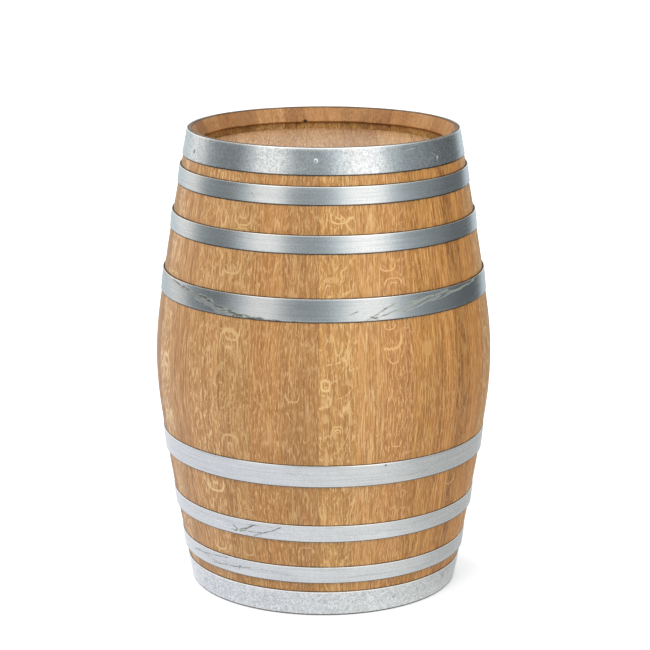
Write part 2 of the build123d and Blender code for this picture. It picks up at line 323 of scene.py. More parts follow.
def ray_figures(g, grain, figures):
    """Nests of pale arcs: azimuth from the front, then height, half width and half height
    in mm, opening, and how closely the lines nest (one line below 1, three near 3).

    The opening is 1 for arcs that open upwards, -1 for downwards, 0 for whole rings and 2
    for filled patches.
    """
    x, y, height = g.split(g.place())
    along = g.times(g.azimuth(x, y), SCUFF_RADIUS)
    waver = g.swing(grain.lines, 0.5, 0.0)
    drawn = 0.0
    for turn, level, wide, tall, opening, nested in figures:
        beside = g.ratio(g.minus(along, radians(turn) * SCUFF_RADIUS), wide * MM)
        above = g.ratio(g.minus(height, level * MM), tall * MM)
        cubes = [g.math("POWER", g.size(side), 3.0) for side in (beside, above)]
        away = g.math("ADD", g.math("POWER", g.math("ADD", *cubes), 1 / 3), waver)
        if opening == 2:
            arc = g.ease(away, 1.2, 0.7, 0.0, 0.5)
        elif opening == 0:
            arc = g.ease(g.size(g.minus(away, 0.8)), 0.30, 0.12)
        else:
            lines_out = g.affine(g.minus(away, 0.85), nested * 0.9, 0.5)
            crest = g.from_crest(lines_out)
            arc = g.ease(crest, 0.095 * nested, 0.045 * nested)
            arc = g.times(arc, g.ease(away, 1.20, 1.0))
            arc = g.times(arc, g.ease(above, 0.25 * opening, -0.25 * opening))
        drawn = g.larger(drawn, arc)
    return g.times(drawn, g.ease(grain.breaks, 0.24, 0.42, 0.25, 1.0))


def below_bevel(g):
    """1 on the recessed wall between the bevel's foot and the head, where painted light brightens the wood, 0
    elsewhere.
    """
    x, y, height = g.split(g.place())
    from_middle = g.size(g.minus(height, MIDDLE))
    foot = MIDDLE - BEVEL_DEPTH
    radius = g.math("SQRT", g.affine(x, x, g.times(y, y)))
    low = g.ease(from_middle, foot - 0.5 * MM, foot - 1.5 * MM)
    within = g.math("LESS_THAN", radius, 264 * MM)
    return g.times(g.times(low, within), g.ease(from_middle, 0.40, 0.42))


def chip_shadow(g):
    """1 inside the painted shadow of the small chip at the foot of the upper bevel, 0 elsewhere."""
    away = g.vector("SUBTRACT", g.place(), turned_to(CHIP_AZIMUTH, FOOT_RADIUS, BEVEL_FOOT))
    return g.ease(g.length(g.scaled(away, (0.8, 0.4, 1.0))), 4.2 * MM, 2.6 * MM)


def grime_and_shade_by_hoops(g):
    """Dark lines on the staves along the hoops' edges: dirt, and painted shade where the edges press into
    them.
    """
    place = g.place()
    from_middle = g.size(g.minus(g.split(place)[2], MIDDLE))
    nearest = 1.0
    for near, width, _, _ in HOOPS.values():
        for edge in (MIDDLE - near, MIDDLE - near - width):
            nearest = g.math("MINIMUM", nearest, g.size(g.minus(from_middle, edge)))
    reach = g.line(g.noise(place, (60, 60, 200), detail=3), 0.3, 0.7, 1.2 * MM, 2.6 * MM)
    return g.times(g.ease(g.ratio(nearest, reach), 1.0, 0.3), 0.92)


def worked_stave(g, grain, body, color, sawn, cut):
    """A stave's wood with its sawn ends, toasted inside, with painted light on the wall below the bevel,
    painted shadow in the chip at its foot, and dark lines by the hoops that are dirt and painted shade.
    """
    rough_cut = g.mix(g.noise(grain.wood, (60, 60, 60), detail=3), (0.84, 0.78, 0.68), (1.06, 1.02, 0.95))
    rough_cut = g.scaled(rough_cut, (cut, cut**1.1, cut**1.2))
    body = g.mix(sawn, body, g.scaled(body, rough_cut))
    # the recessed wall below the bevel: rough mottled patches, brightened overall by painted light where the
    # wall lies in shade
    patches = g.ease(g.noise(grain.wood, (260, 120, 160), detail=3), 0.40, 0.62)
    wall_light_and_patches = g.mix(patches, (0.80, 0.86, 0.84), (1.45, 1.60, 1.55))
    body = g.mix(below_bevel(g), body, g.scaled(body, wall_light_and_patches))
    toasted = g.times(g.attribute("toast", "Fac"), g.line(grain.broad, 0.3, 0.7, 0.75, 1.0))
    body = g.mix(toasted, body, rgb(58, 36, 22))
    # dark lines by the hoops' edges: dirt and painted shade
    body = g.mix(grime_and_shade_by_hoops(g), body, tinted(color, 0.16))
    # painted shadow inside the chip at the foot of the upper bevel
    return g.mix(chip_shadow(g), body, tinted(color, 0.08))


def oak(name, color, marks, straight=1.0, spread=1.0, cut=None, figures=()):
    """Split oak: straight grain lines, pores, and pale flecks where rays meet the face.

    marks is how strongly the flecks show, how many nest together, their frequency across
    and along the board, and how far they are broken up. straight is the strength of the
    long grain lines and spread their coarseness. cut is for staves only: how bright the
    sawn ends are against the face. figures are the nests of arcs that ray_figures() draws.
    The grain attribute is (across, depth, along) in metres, shifted for each board.
    """
    g = Material(name)
    grain = grain_layers(g, straight, spread)
    ray = ray_flecks(g, grain, *marks)
    if figures:
        ray = g.larger(ray, ray_figures(g, grain, figures))
    if cut:
        sawn = g.attribute("sawn", "Fac")
        ray = g.times(ray, g.line(sawn, 0, 1, 1.0, 0.3))

    tone = 0.5
    for layer, share in ((grain.broad, 0.85), (grain.streak, 0.55 * straight), (grain.lines, 1.1 * straight),
                         (grain.fibres, 0.6), (grain.hair, 0.32 * straight)):
        tone = g.swing(layer, share, tone)
    tone = g.math("ADD", tone, 0.0, clamp=True)
    body = g.mix(tone, tinted(color, 0.62, 0.53, 0.42), tinted(color, 1.24, 1.29, 1.38))
    body = g.mix(g.times(grain.pores, 0.25), body, tinted(color, 0.45))
    pale = [min(color[0] * 1.50, 0.9), min(color[1] * 1.95, 0.85), min(color[2] * 3.0, 0.75)]
    body = g.mix(ray, body, pale)
    if cut:
        body = worked_stave(g, grain, body, color, sawn, cut)

    relief = g.affine(grain.lines, 0.5, g.times(grain.fibres, 0.8))
    relief = g.affine(grain.pores, -0.5, relief)
    g.bump(g.affine(ray, 0.15, relief), 0.0005, 0.6)
    roughness = g.line(g.minus(grain.lines, g.times(ray, 0.5)), 0.2, 0.8, 0.44, 0.64)
    return g.finish(body, roughness, Specular_IOR_Level=0.40)


def fibrous(name, stretch, detail, dark, light, relief, strength, roughness):
    """A simple material with fibres, for what lies hidden between the head's boards."""
    g = Material(name)
    fibres = g.noise(g.place(), stretch, detail=detail)
    g.bump(fibres, relief, strength)
    return g.finish(g.mix(fibres, rgb(*dark), rgb(*light)), roughness)


# ---- zinc and silicone ----
ZINC = (0.575, 0.585, 0.585)
OLD_DIRT = (0.060, 0.064, 0.052)
PALE_OLIVE = (0.26, 0.29, 0.21)
STAIN = (0.060, 0.055, 0.045)
# the band's lower edge: a dark line of dirt and painted shade
EDGE_DIRT_AND_SHADE = (0.035, 0.030, 0.022)
# the band's far edge: a thin painted highlight where its rounded corner catches the light
EDGE_HIGHLIGHT = (0.93, 0.92, 0.88)


def scuff_marks(g, band, along, up, scuffs):
    """Worn strokes: azimuth and height of the start, the same of the end, breadth, depth."""
    marks = 0.0
    for start_turn, start_up, end_turn, end_up, breadth, depth in scuffs:
        start_along = radians(start_turn) * SCUFF_RADIUS
        run = Vector((radians(end_turn) * SCUFF_RADIUS - start_along, (end_up - start_up) * MM))
        breadth *= MM
        length = run.length
        run.normalize()
        from_start = g.minus(along, start_along)
        above = g.minus(up, start_up * MM)
        forward = g.math("ADD", g.times(from_start, run.x), g.times(above, run.y))
        aside = g.minus(g.times(above, run.x), g.times(from_start, run.y))
        waver = g.line(g.noise(band, (35, 60, 1)), 0, 1, -1.6 * breadth, 1.6 * breadth)
        near = g.ease(g.size(g.math("ADD", aside, waver)), breadth, breadth * 0.25)
        inside = g.ease(g.size(g.minus(forward, length / 2)), length / 2, length / 2 - 6 * MM)
        worn = g.ease(g.noise(band, (90, 300, 1), detail=3), 0.34, 0.52, 0.25, 1.0)
        marks = g.larger(marks, g.times(g.times(near, inside), g.times(worn, depth)))
    return marks


def stain_marks(g, band, along, up, stains):
    """Ragged spots: azimuth, height, size, depth."""
    marks = 0.0
    for turn, height, size, depth in stains:
        size *= MM
        spot = (radians(turn) * SCUFF_RADIUS, height * MM, 0)
        away = g.length(g.vector("SUBTRACT", g.join(along, up, 0.0), spot))
        ragged = g.affine(g.noise(band, (300, 300, 1)), size, away)
        marks = g.larger(marks, g.times(g.ease(ragged, size * 1.5, size * 0.9), depth))
    return marks


def galvanised(name, spangle, width=None, tint=ZINC, scuffs=(), stains=(), dirt_and_shade=1.9 * MM):
    """Zinc-coated band. The band attribute is (along, up, number of the band) in metres.

    spangle is 1 where the zinc's crystals show and near 0 where the strip's rolling does.
    The azimuths of scuffs and stains are from the barrel's front, and their heights, in mm
    as their sizes are, from the band's lower edge. The last argument is the breadth of that
    edge's dark line, which is dirt and painted shade; the far edge gets a thin painted highlight.
    """
    g = Material(name)
    band = g.attribute("band")
    along, up, _ = g.split(band)
    stir = g.join(g.noise(band, (160, 160, 1)), g.noise(band, (150, 170, 2)), 0.0)
    stirred = g.vector("ADD", band, g.scaled(stir, (0.006, 0.006, 0)))
    small = g.cells(stirred, (290, 290, 1))[0]
    large = g.cells(stirred, (110, 110, 1))[1]
    crystal = g.affine(large, 0.2, g.times(small, 0.8))
    cloud = g.noise(band, (14, 30, 1), detail=4, roughness=0.6)
    streaks = g.noise(band, (9, 420, 1), detail=3, roughness=0.7)
    rolled_lines = g.noise(band, (3, 170, 1), roughness=0.6)
    grit = g.noise(band, (420, 440, 1), detail=3, roughness=0.75)
    value = 1.0
    for layer, share in ((cloud, 0.25), (crystal, 0.45 * spangle), (streaks, 0.50 * (1 - spangle)),
                         (rolled_lines, 0.22 * (1 - spangle)), (grit, 0.35 + 0.6 * spangle)):
        value = g.swing(layer, share, value)
    color = g.scaled(tint, g.join(value, value, value))

    scuffed = scuff_marks(g, band, along, up, scuffs)
    stained = stain_marks(g, band, along, up, stains)
    olive = g.ease(g.affine(along, 0.45, g.noise(band, (80, 230, 1), detail=3)), 0.42, 0.58)
    color = g.mix(scuffed, color, g.mix(olive, OLD_DIRT, PALE_OLIVE))
    color = g.mix(stained, color, STAIN)
    if width:
        # a dark line along the lower edge: dirt, and painted shade where the band meets the wood
        color = g.mix(g.ease(up, dirt_and_shade, dirt_and_shade / 2, 0.0, 0.85), color, EDGE_DIRT_AND_SHADE)
        # a thin painted highlight along the far edge
        color = g.mix(g.ease(up, width - 1.8 * MM, width - 0.8 * MM, 0.0, 0.7), color, EDGE_HIGHLIGHT)

    marks = g.larger(scuffed, stained)
    shiny = g.swing(crystal, -0.06 * spangle, 0.27 - 0.02 * spangle)
    shiny = g.affine(marks, 0.3, g.swing(cloud, 0.05, shiny), clamp=True)
    height = g.affine(streaks, 0.5, g.times(grit, 0.25))
    height = g.affine(crystal, 0.3 * spangle, height)
    g.bump(g.affine(marks, -1.0, height), 0.00012, 0.5)
    return g.finish(color, shiny, Metallic=g.affine(marks, -0.75, 0.96))


def silicone(name):
    g = Material(name)
    place = g.attribute("local")
    speck = g.noise(place, (260, 260, 260), detail=3)
    dust = g.noise(place, (40, 40, 40), detail=3)
    color = g.mix(g.ease(dust, 0.35, 0.7), rgb(208, 198, 178), rgb(190, 176, 152))
    g.bump(speck, 0.0002, 0.4)
    roughness = g.line(speck, 0.3, 0.7, 0.42, 0.55)
    return g.finish(color, roughness, Subsurface_Weight=0.15, Subsurface_Scale=0.004)


# ---- mesh helpers ----
def closed_mesh(name, vertices, faces, weld=False):
    """A mesh whose faces all point outwards."""
    mesh = bpy.data.meshes.new(name)
    mesh.from_pydata(vertices, [], faces)
    shell = bmesh.new()
    shell.from_mesh(mesh)
    if weld:
        bmesh.ops.remove_doubles(shell, verts=shell.verts, dist=1e-7)
        bmesh.ops.dissolve_degenerate(shell, edges=shell.edges, dist=1e-8)
    bmesh.ops.recalc_face_normals(shell, faces=shell.faces)
    shell.to_mesh(mesh)
    shell.free()
    return mesh


def add_object(name, data):
    made = bpy.data.objects.new(name, data)
    bpy.context.scene.collection.objects.link(made)
    return made


def shade_smooth(mesh, sharp):
    """Smooth shading, but for edges where the faces turn by more than the sharp angle."""
    mesh.polygons.foreach_set("use_smooth", [True] * len(mesh.polygons))
    mesh.set_sharp_from_angle(angle=radians(sharp))


def add_piece(name, vertices, faces, material, body, nodes=(), sharp=32, weld=True):
    """Makes a closed, smooth-shaded piece that rides on a body and stands for CAD nodes."""
    mesh = closed_mesh(name, vertices, faces, weld)
    shade_smooth(mesh, sharp)
    mesh.materials.append(material)
    piece = add_object(name, mesh)
    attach(piece, body)
    if nodes:
        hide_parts(*nodes)
    return piece


def set_values(piece, name, values):
    """Gives each point of a piece a number or a vector."""
    values = np.asarray(values, dtype=np.float32)
    kind, field = ("FLOAT", "value") if values.ndim == 1 else ("FLOAT_VECTOR", "vector")
    layer = piece.data.attributes.new(name, kind, "POINT")
    layer.data.foreach_set(field, values.ravel())


def vertex_array(piece):
    return np.array([vertex.co for vertex in piece.data.vertices], dtype=float)


def turned_to(azimuth, radius, height):
    a = radians(azimuth)
    return radius * cos(a), radius * sin(a), height


def skin(rings):
    """Vertices and faces of a tube through equal rings, capped at both ends."""
    count = len(rings[0])
    vertices = [point for ring in rings for point in ring]
    faces = []
    for a in range(0, (len(rings) - 1) * count, count):
        for j in range(count):
            k = (j + 1) % count
            faces.append((a + j, a + k, a + count + k, a + count + j))
    faces.append(tuple(reversed(range(count))))
    faces.append(tuple(range((len(rings) - 1) * count, len(rings) * count)))
    return vertices, faces


def eased_columns(start, end, easing, inner):
    """Places from start to end with how far the surface drops: eased ends, flat between."""
    return (
        [(start + step, drop * MM) for step, drop in easing]
        + [(place, 0.0) for place in inner]
        + [(end - step, drop * MM) for step, drop in reversed(easing)]
    )


# ---- staves ----
def stave_outline():
    """The closed long section of a stave as (radius, height) points, outer face first."""
    outer = [(wall_radius(z), z) for z in np.linspace(1.2 * MM, HEIGHT - 1.2 * MM, 78)]
    tip = wall_radius(HEIGHT)
    rim = tip - RIM_WIDTH
    bevel = [(tip - 0.5 * MM, HEIGHT - 0.25 * MM), (tip - 1.4 * MM, HEIGHT)]
    bevel += [(rim + 1.2 * MM, HEIGHT), (rim + 0.2 * MM, HEIGHT - 0.6 * MM)]
    foot = (FOOT_RADIUS + 0.4 * MM, BEVEL_FOOT + 1.2 * MM)
    bevel += list(np.linspace((rim - 0.5 * MM, HEIGHT - 1.6 * MM), foot, 7))
    howel_foot = HEIGHT - HOWEL_END
    groove = [
        (FOOT_RADIUS, BEVEL_FOOT),
        (FOOT_RADIUS + 0.5 * MM, BEVEL_FOOT - 1.2 * MM),
        (FOOT_RADIUS + 0.65 * (CROZE_WALL - FOOT_RADIUS), HEIGHT - HOWEL_START + 1.5 * MM),
        (CROZE_WALL, HEIGHT - HOWEL_START),
        (CROZE_WALL, CROZE_TOP + 0.4 * MM),
        (CROZE_WALL + 0.4 * MM, CROZE_TOP),
        (CROZE_WALL + CROZE_CUT, CROZE_TOP),
        (CROZE_WALL + CROZE_CUT, CROZE_LOW),
        (CROZE_WALL, CROZE_LOW),
        (wall_radius(howel_foot, STAVE_THICKNESS), howel_foot),
    ]
    upper_end = bevel + groove
    inner = [(wall_radius(z, STAVE_THICKNESS), z) for z in np.linspace(howel_foot, HOWEL_END, 50)[1:-1]]
    lower_end = [(r, HEIGHT - z) for r, z in reversed(upper_end)]
    return np.array(outer + upper_end + inner + lower_end)


def outline_normals(outline):
    """Outward unit normals of a closed (radius, height) outline."""
    run = np.roll(outline, -1, axis=0) - np.roll(outline, 1, axis=0)
    normal = np.stack([run[:, 1], -run[:, 0]], axis=1)
    return normal / np.linalg.norm(normal, axis=1, keepdims=True)


OUTLINE = stave_outline()
OUTLINE_NORMALS = outline_normals(OUTLINE)
# how far a stave's face drops towards its joints, as (distance from the joint, drop) in mm
JOINT_EASING = [(0.0, 0.32), (0.2, 0.12), (0.55, 0.02), (1.2, 0.0)]


def rim_drop(azimuth):
    """How far the worn rim lies below the barrel's full height, with one low place."""
    wave = 0.25 + 0.16 * sin(radians(7 * azimuth + 40)) + 0.14 * sin(radians(17 * azimuth))
    dip = 2.0 * smooth(azimuth, 58, 67) * (1 - smooth(azimuth, 69.0, 69.8))
    return max(wave, 0.0) * MM + dip * MM


def near_foot(points):
    """Which points of a section lie at the foot of the upper bevel."""
    return (np.abs(points[:, 1] - BEVEL_FOOT) < 3 * MM) & (points[:, 0] < 262 * MM)


def make_stave(node, start, span, material, rng):
    """A stave from one azimuth over a span of degrees. Its hole, if any, is cut here too."""
    easing = [(degrees(mm * MM / BILGE_RADIUS), drop) for mm, drop in JOINT_EASING]
    flat_start = start + easing[-1][0]
    flat_span = span - 2 * easing[-1][0]
    parts = max(4, round(span / 1.6))
    inner = [flat_start + flat_span * i / parts for i in range(1, parts)]
    proud = rng.uniform(-0.12, 0.0) * MM
    foot_shift = rng.uniform(-0.8, 0.8) * MM
    rings = []
    for azimuth, drop in eased_columns(start, start + span, easing, inner):
        points = OUTLINE - OUTLINE_NORMALS * drop
        points[:, 0] += proud * (np.abs(points[:, 1] - MIDDLE) < MIDDLE - 2 * MM)
        top = points[:, 1] > HEIGHT - 3 * MM
        points[top, 1] -= rim_drop(azimuth) * smooth(points[top, 1], HEIGHT - 3 * MM, HEIGHT)
        points[near_foot(points), 1] += foot_shift
        chip = 3.2 * MM * (1 - smooth(abs(azimuth - CHIP_AZIMUTH), 0.25, 0.9))
        points[near_foot(points), 0] += chip
        rings.append([turned_to(azimuth, *point) for point in points])
    vertices, faces = skin(rings)
    piece = add_piece(f"{node}_wood", vertices, faces, material, "barrel", sharp=40)
    if node == "bung_stave":
        cut_bung_hole(piece)
    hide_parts(node)
    grain_on_stave(piece, start + span / 2, rng)


def grain_on_stave(piece, middle, rng):
    """Grain runs straight up the stave: its edges cut through it as the stave narrows."""
    points = vertex_array(piece)
    radius = np.hypot(points[:, 0], points[:, 1])
    turn = np.degrees(np.arctan2(points[:, 1], points[:, 0])) - middle
    turn = (turn + 180) % 360 - 180
    across = np.radians(turn) * radius
    outer = np.array([wall_radius(min(max(z, 0.0), HEIGHT)) for z in points[:, 2]])
    depth = outer - radius
    shift = [rng.uniform(-50, 50) for _ in range(3)]
    set_values(piece, "grain", np.stack([across, depth, points[:, 2]], axis=1) + shift)
    from_middle = np.abs(points[:, 2] - MIDDLE)
    set_values(piece, "toast", (depth > STAVE_THICKNESS - 2 * MM) & (from_middle < MIDDLE - HOWEL_END))
    set_values(piece, "sawn", (depth > 3 * MM) & (from_middle > MIDDLE - HOWEL_END - MM))


def cut_bung_hole(piece):
    """Cuts the tapered hole with a cone that points into the barrel."""
    rings = []
    for y in (BILGE_RADIUS - 50 * MM, BILGE_RADIUS + 20 * MM):
        r = BUNG_HOLE_RADIUS + (y - BILGE_RADIUS) * BUNG_TAPER
        rings.append([(r * cos(a), y, MIDDLE + r * sin(a)) for a in np.linspace(0, 2 * pi, 97)[:-1]])
    mesh = closed_mesh("bung_cutter", *skin(rings))
    cutter = add_object("bung_cutter", mesh)
    cut = piece.modifiers.new("bung_hole", "BOOLEAN")
    cut.operation = "DIFFERENCE"
    cut.solver = "EXACT"
    cut.object = cutter
    depsgraph = bpy.context.evaluated_depsgraph_get()
    result = bpy.data.meshes.new_from_object(piece.evaluated_get(depsgraph))
    piece.modifiers.clear()
    uncut = piece.data
    piece.data = result
    bpy.data.meshes.remove(uncut)
    bpy.data.objects.remove(cutter)
    bpy.data.meshes.remove(mesh)
    shade_smooth(result, 32)


# Each stave's wood: its colour on a screen, then its marks as oak() reads them. The list
# goes round from the bung stave, as the widths do.
STAVE_WOOD = [
    ((192, 146, 98), 0.5, 3, 12, 3, 0.6),
    ((182, 134, 86), 0.4, 4, 20, 4, 0.8),
    ((200, 154, 104), 0.7, 6, 14, 5, 0.3),
    ((188, 140, 92), 0.4, 3, 26, 4, 0.9),
    ((176, 128, 82), 0.5, 4, 16, 5, 0.5),
    ((196, 150, 102), 0.6, 5, 14, 6, 0.4),
    ((186, 138, 90), 0.4, 3, 22, 4, 0.8),
    ((192, 146, 98), 0.5, 4, 14, 4, 0.6),
    ((182, 136, 90), 0.4, 4, 18, 4, 0.8),
    ((201, 155, 108), 0.8, 5, 15, 8, 0.2),
    ((194, 147, 99), 0.15, 3, 26, 3, 1.0),
    ((195, 148, 97), 0.6, 4, 30, 12, 0.7),
    ((181, 135, 83), 0.6, 7, 17, 9, 0.2),
    ((185, 134, 80), 0.6, 5, 20, 4, 0.4),
    ((180, 132, 80), 0.6, 3, 22, 8, 0.7),
    ((198, 149, 91), 0.6, 4, 15, 9, 0.1),
    ((204, 153, 96), 0.3, 3, 30, 3, 0.9),
    ((199, 144, 86), 0.55, 5, 15, 8, 0.4),
    ((197, 142, 77), 0.3, 3, 24, 4, 0.8),
    ((198, 140, 75), 0.35, 3, 26, 5, 0.7),
    ((178, 123, 61), 0.5, 3, 34, 14, 0.7),
    ((200, 140, 72), 0.3, 3, 24, 5, 0.8),
    ((201, 149, 89), 0.6, 4, 16, 7, 0.4),
    ((184, 136, 88), 0.4, 3, 22, 4, 0.7),
    ((196, 150, 100), 0.5, 5, 14, 6, 0.5),
    ((180, 132, 84), 0.4, 4, 18, 4, 0.6),
    ((200, 154, 106), 0.7, 6, 15, 7, 0.3),
    ((188, 140, 92), 0.4, 3, 24, 4, 0.8),
    ((180, 132, 86), 0.3, 3, 20, 4, 0.8),
    ((194, 148, 98), 0.6, 5, 15, 6, 0.4),
]
# The straight-grained staves: the strength and the coarseness of their grain lines, which
# are 1 for the other staves.
STRAIGHT_GRAINED = dict.fromkeys((2, 5, 11, 17, 19, 29), (1.5, 1))
STRAIGHT_GRAINED |= {20: (2.0, 1.4), 21: (2.6, 2.0), 22: (1.6, 1.2)}
# the nests of arcs on the staves, as ray_figures() reads them
FIGURES = {
    10: [(-67, 460, 20, 55, -1, 3), (-69, 360, 16, 30, -1, 3)],
    13: [
        (-33, 545, 24, 55, -1, 1.9), (-32, 600, 20, 30, 1, 1.9), (-34.5, 722, 26, 24, 1, 0.65),
        (-31, 815, 22, 22, 1, 1.9), (-31, 775, 18, 18, -1, 1.9), (-33, 355, 22, 30, -1, 1.9),
        (-30, 135, 14, 16, 1, 0.65),
    ],
    12: [(-42, 275, 26, 28, 1, 1.9), (-44, 140, 20, 24, 1, 0.65)],
    14: [(-18, 400, 5, 30, 2, 3), (-20, 330, 16, 22, 1, 0.65)],
    15: [(-6.5, 140, 18, 14, -1, 0.65), (-10, 480, 14, 20, 1, 0.65)],
    16: [
        (0.6, 497, 9, 13, 0, 3), (0.4, 466, 7, 6, 2, 3), (2.2, 585, 8, 5, 2, 3), (0.6, 430, 6, 10, 2, 3),
        (3, 700, 14, 6, 2, 3), (4.5, 400, 12, 16, -1, 3), (6, 820, 22, 16, 1, 1.9),
        (1, 345, 5, 16, 2, 3), (5.5, 660, 16, 12, 1, 3),
    ],
    18: [
        (22.8, 728, 19, 18, 1, 0.65), (21.6, 745, 4, 14, 2, 3), (24.7, 686, 20, 14, -1, 1.9),
        (22.5, 612, 13, 14, 1, 0.65), (22.5, 590, 26, 32, 1, 0.65), (23.5, 548, 11, 16, 1, 0.65),
        (25, 375, 12, 14, 1, 0.65),
    ],
    19: [(36.5, 555, 12, 16, 2, 3)],
    21: [(52, 270, 18, 20, 1, 0.65)],
}


def make_staves():
    per_width = 360 / sum(STAVE_WIDTHS)
    start = BUNG_AZIMUTH - STAVE_WIDTHS[0] * per_width / 2
    for number, (width, (color, *marks)) in enumerate(zip(STAVE_WIDTHS, STAVE_WOOD), start=1):
        node = "bung_stave" if number == 1 else f"stave_{number:02d}"
        straight, spread = STRAIGHT_GRAINED.get(number, (1, 1))
        cut = random.Random(899 + number).uniform(0.88, 1.10)
        material = oak(f"oak_{node}", wood_tone(color), marks, straight, spread, cut, FIGURES.get(number, ()))
        make_stave(node, start, width * per_width, material, random.Random(99 + number))
        start += width * per_width


# ---- heads ----
def head_profile():
    """Half section of the upper head as (radius, height), from its top middle outwards."""
    face = HEIGHT - HEAD_SETBACK
    tongue = CROZE_WALL + CROZE_CUT - TONGUE_CLEARANCE
    return [
        (0.0, face),
        (HEAD_FACE_RADIUS - 0.8 * MM, face),
        (HEAD_FACE_RADIUS + 0.6 * MM, face - 0.4 * MM),
        (tongue - TONGUE_LENGTH, CROZE_TOP),
        (tongue, CROZE_TOP),
        (tongue, CROZE_LOW),
        (tongue - TONGUE_LENGTH, CROZE_LOW),
        (HEAD_INNER_RADIUS, face - HEAD_THICKNESS),
        (0.0, face - HEAD_THICKNESS),
    ]


def board_section(x, drop):
    """Ring of (y, z) points of the head where a plane cuts it at x."""
    profile = head_profile()
    right = []
    for side, sign in ((profile[:5], -1), (profile[:4:-1], 1)):
        radii, heights = zip(*side)
        points = []
        for r, z in side[1:]:
            if r < abs(x):
                r, z = abs(x), np.interp(abs(x), radii, heights)
            points.append((sqrt(max(r * r - x * x, 0.0)), z + sign * drop))
        right += points[::-sign]
    return right + [(-y, z) for y, z in reversed(right)]


BOARD_WOOD = [
    ((186, 142, 100), 0.4, 3, 16, 3, 0.6),
    ((196, 152, 108), 0.5, 4, 14, 3, 0.6),
    ((192, 148, 106), 0.3, 3, 18, 3, 0.7),
    ((188, 144, 102), 0.35, 3, 18, 3, 0.7),
    ((182, 138, 98), 0.3, 3, 18, 3, 0.8),
    ((198, 154, 106), 0.4, 4, 14, 3, 0.6),
    ((190, 146, 100), 0.4, 3, 16, 3, 0.6),
]
BOARD_SHADE = 0.88
BOARD_EASING = [(0.0, 0.025), (0.25 * MM, 0.01), (0.7 * MM, 0.0)]


def make_board(end, number, color, marks):
    node = f"{end}_head_board_{number}"
    (x0, _, _), (x1, _, _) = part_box(node)
    rings = []
    for x, drop in eased_columns(x0, x1, BOARD_EASING, np.linspace(x0 + 2 * MM, x1 - 2 * MM, 12)):
        section = board_section(x, drop)
        rings.append([(x, y, z if end == "top" else HEIGHT - z) for y, z in section])
    rng = random.Random((300 if end == "top" else 400) + number)
    if end == "bottom":
        color = [c + rng.uniform(-6, 6) for c in color]
    material = oak(f"oak_{node}", tinted(wood_tone(color), BOARD_SHADE), marks)
    vertices, faces = skin(rings)
    piece = add_piece(f"{node}_wood", vertices, faces, material, "barrel", [node])
    points = vertex_array(piece)
    shift = [rng.uniform(-50, 50) for _ in range(3)]
    depth = height_from_end(end, points[:, 2]) - HEAD_SETBACK
    set_values(piece, "grain", np.stack([points[:, 0], depth, points[:, 1]], axis=1) + shift)


def make_heads():
    for end in ("top", "bottom"):
        for number, (color, *marks) in enumerate(BOARD_WOOD, start=1):
            make_board(end, number, color, marks)


# ---- hoops ----
BAND_EDGE = 0.35 * MM
JOGGLE_LENGTH = 7 * MM
LAP_CORNER = 4 * MM
BAND_SHIFT = 3.7


def height_from_end(end, distance):
    return HEIGHT - distance if end == "top" else distance


def hoop_edges(end, near, width, standoff):
    """The (radius, height) of a band's inner face at its near edge and at its far edge."""
    near_z = height_from_end(end, near)
    far_z = height_from_end(end, near + width)
    return (wall_radius(near_z) + standoff, near_z), (wall_radius(far_z), far_z)


def band_profile(end, hoop):
    """Rounded section of a band: its lower corner, the directions up it and out of it, the
    outline as (distance up, distance out) points, and its width."""
    low, high = map(np.array, sorted(hoop_edges(end, *HOOPS[hoop][:3]), key=lambda edge: edge[1]))
    run = high - low
    width = np.linalg.norm(run)
    run /= width
    out = np.array((run[1], -run[0]))
    t = HOOP_THICKNESS
    e = BAND_EDGE
    shape = [(e, 0.0), (0.0, e), (0.0, t - e), (e * 0.3, t - e * 0.3), (e, t)]
    shape += [(u, t) for u in np.linspace(0.15, 0.85, 6) * width]
    shape += [(width - e, t), (width - e * 0.3, t - e * 0.3), (width, t - e), (width, e), (width - e, 0.0)]
    shape += [(u, 0.0) for u in np.linspace(0.8, 0.2, 3) * width]
    return low, run, out, shape, width


def make_hoop(end, hoop, material, number, rng):
    """A band that runs once round the barrel and then on over its own start, joggled up."""
    near, band_width, _, lap = HOOPS[hoop]
    low, run, out, shape, width = band_profile(end, hoop)
    radius = wall_radius(height_from_end(end, near + band_width / 2))
    lap_span = degrees(LAP_LENGTH / radius)
    slot = degrees(LAP_SLOT / radius)
    lap_end = lap + lap_span / 2
    lifted = 360 - 2 * slot
    joggle_start = 360 - degrees(JOGGLE_LENGTH / radius) - 2 * slot
    total = 360 + lap_span - 2 * slot
    around = np.concatenate([
        np.linspace(0, joggle_start, 300),
        np.linspace(joggle_start, lifted + 0.2, 9)[1:],
        np.linspace(lifted + 0.2, total, 24)[1:],
    ])
    phases = [rng.uniform(0, 360) for _ in range(2)]
    rings = []
    places = []
    for turn in around:
        azimuth = lap_end - 2 * slot - turn
        layer = smooth(turn, joggle_start, lifted)
        wave = 0.10 * sin(radians(9 * azimuth + phases[0])) + 0.08 * sin(radians(23 * azimuth + phases[1]))
        lift = layer * (HOOP_THICKNESS + 0.02 * MM) + max(wave + 0.12, 0) * MM * 0.4 * (1 - layer)
        corner = LAP_CORNER * smooth(turn, total - degrees(LAP_CORNER / radius), total) ** 2
        ring = []
        for u, t in shape:
            u_cut = min(max(u, corner), width - corner)
            ring.append(turned_to(azimuth, *(low + run * u_cut + out * (t + lift))))
            places.append((radians(azimuth + 90) * SCUFF_RADIUS, u_cut, number * BAND_SHIFT))
        rings.append(ring)
    vertices, faces = skin(rings)
    name = f"{end}_{hoop}"
    piece = add_piece(f"{name}_band", vertices, faces, material, "barrel", [name], 35, False)
    set_values(piece, "band", places)


# ---- turned pieces: rivets, nails and the bung ----
AXIS = 0.02 * MM


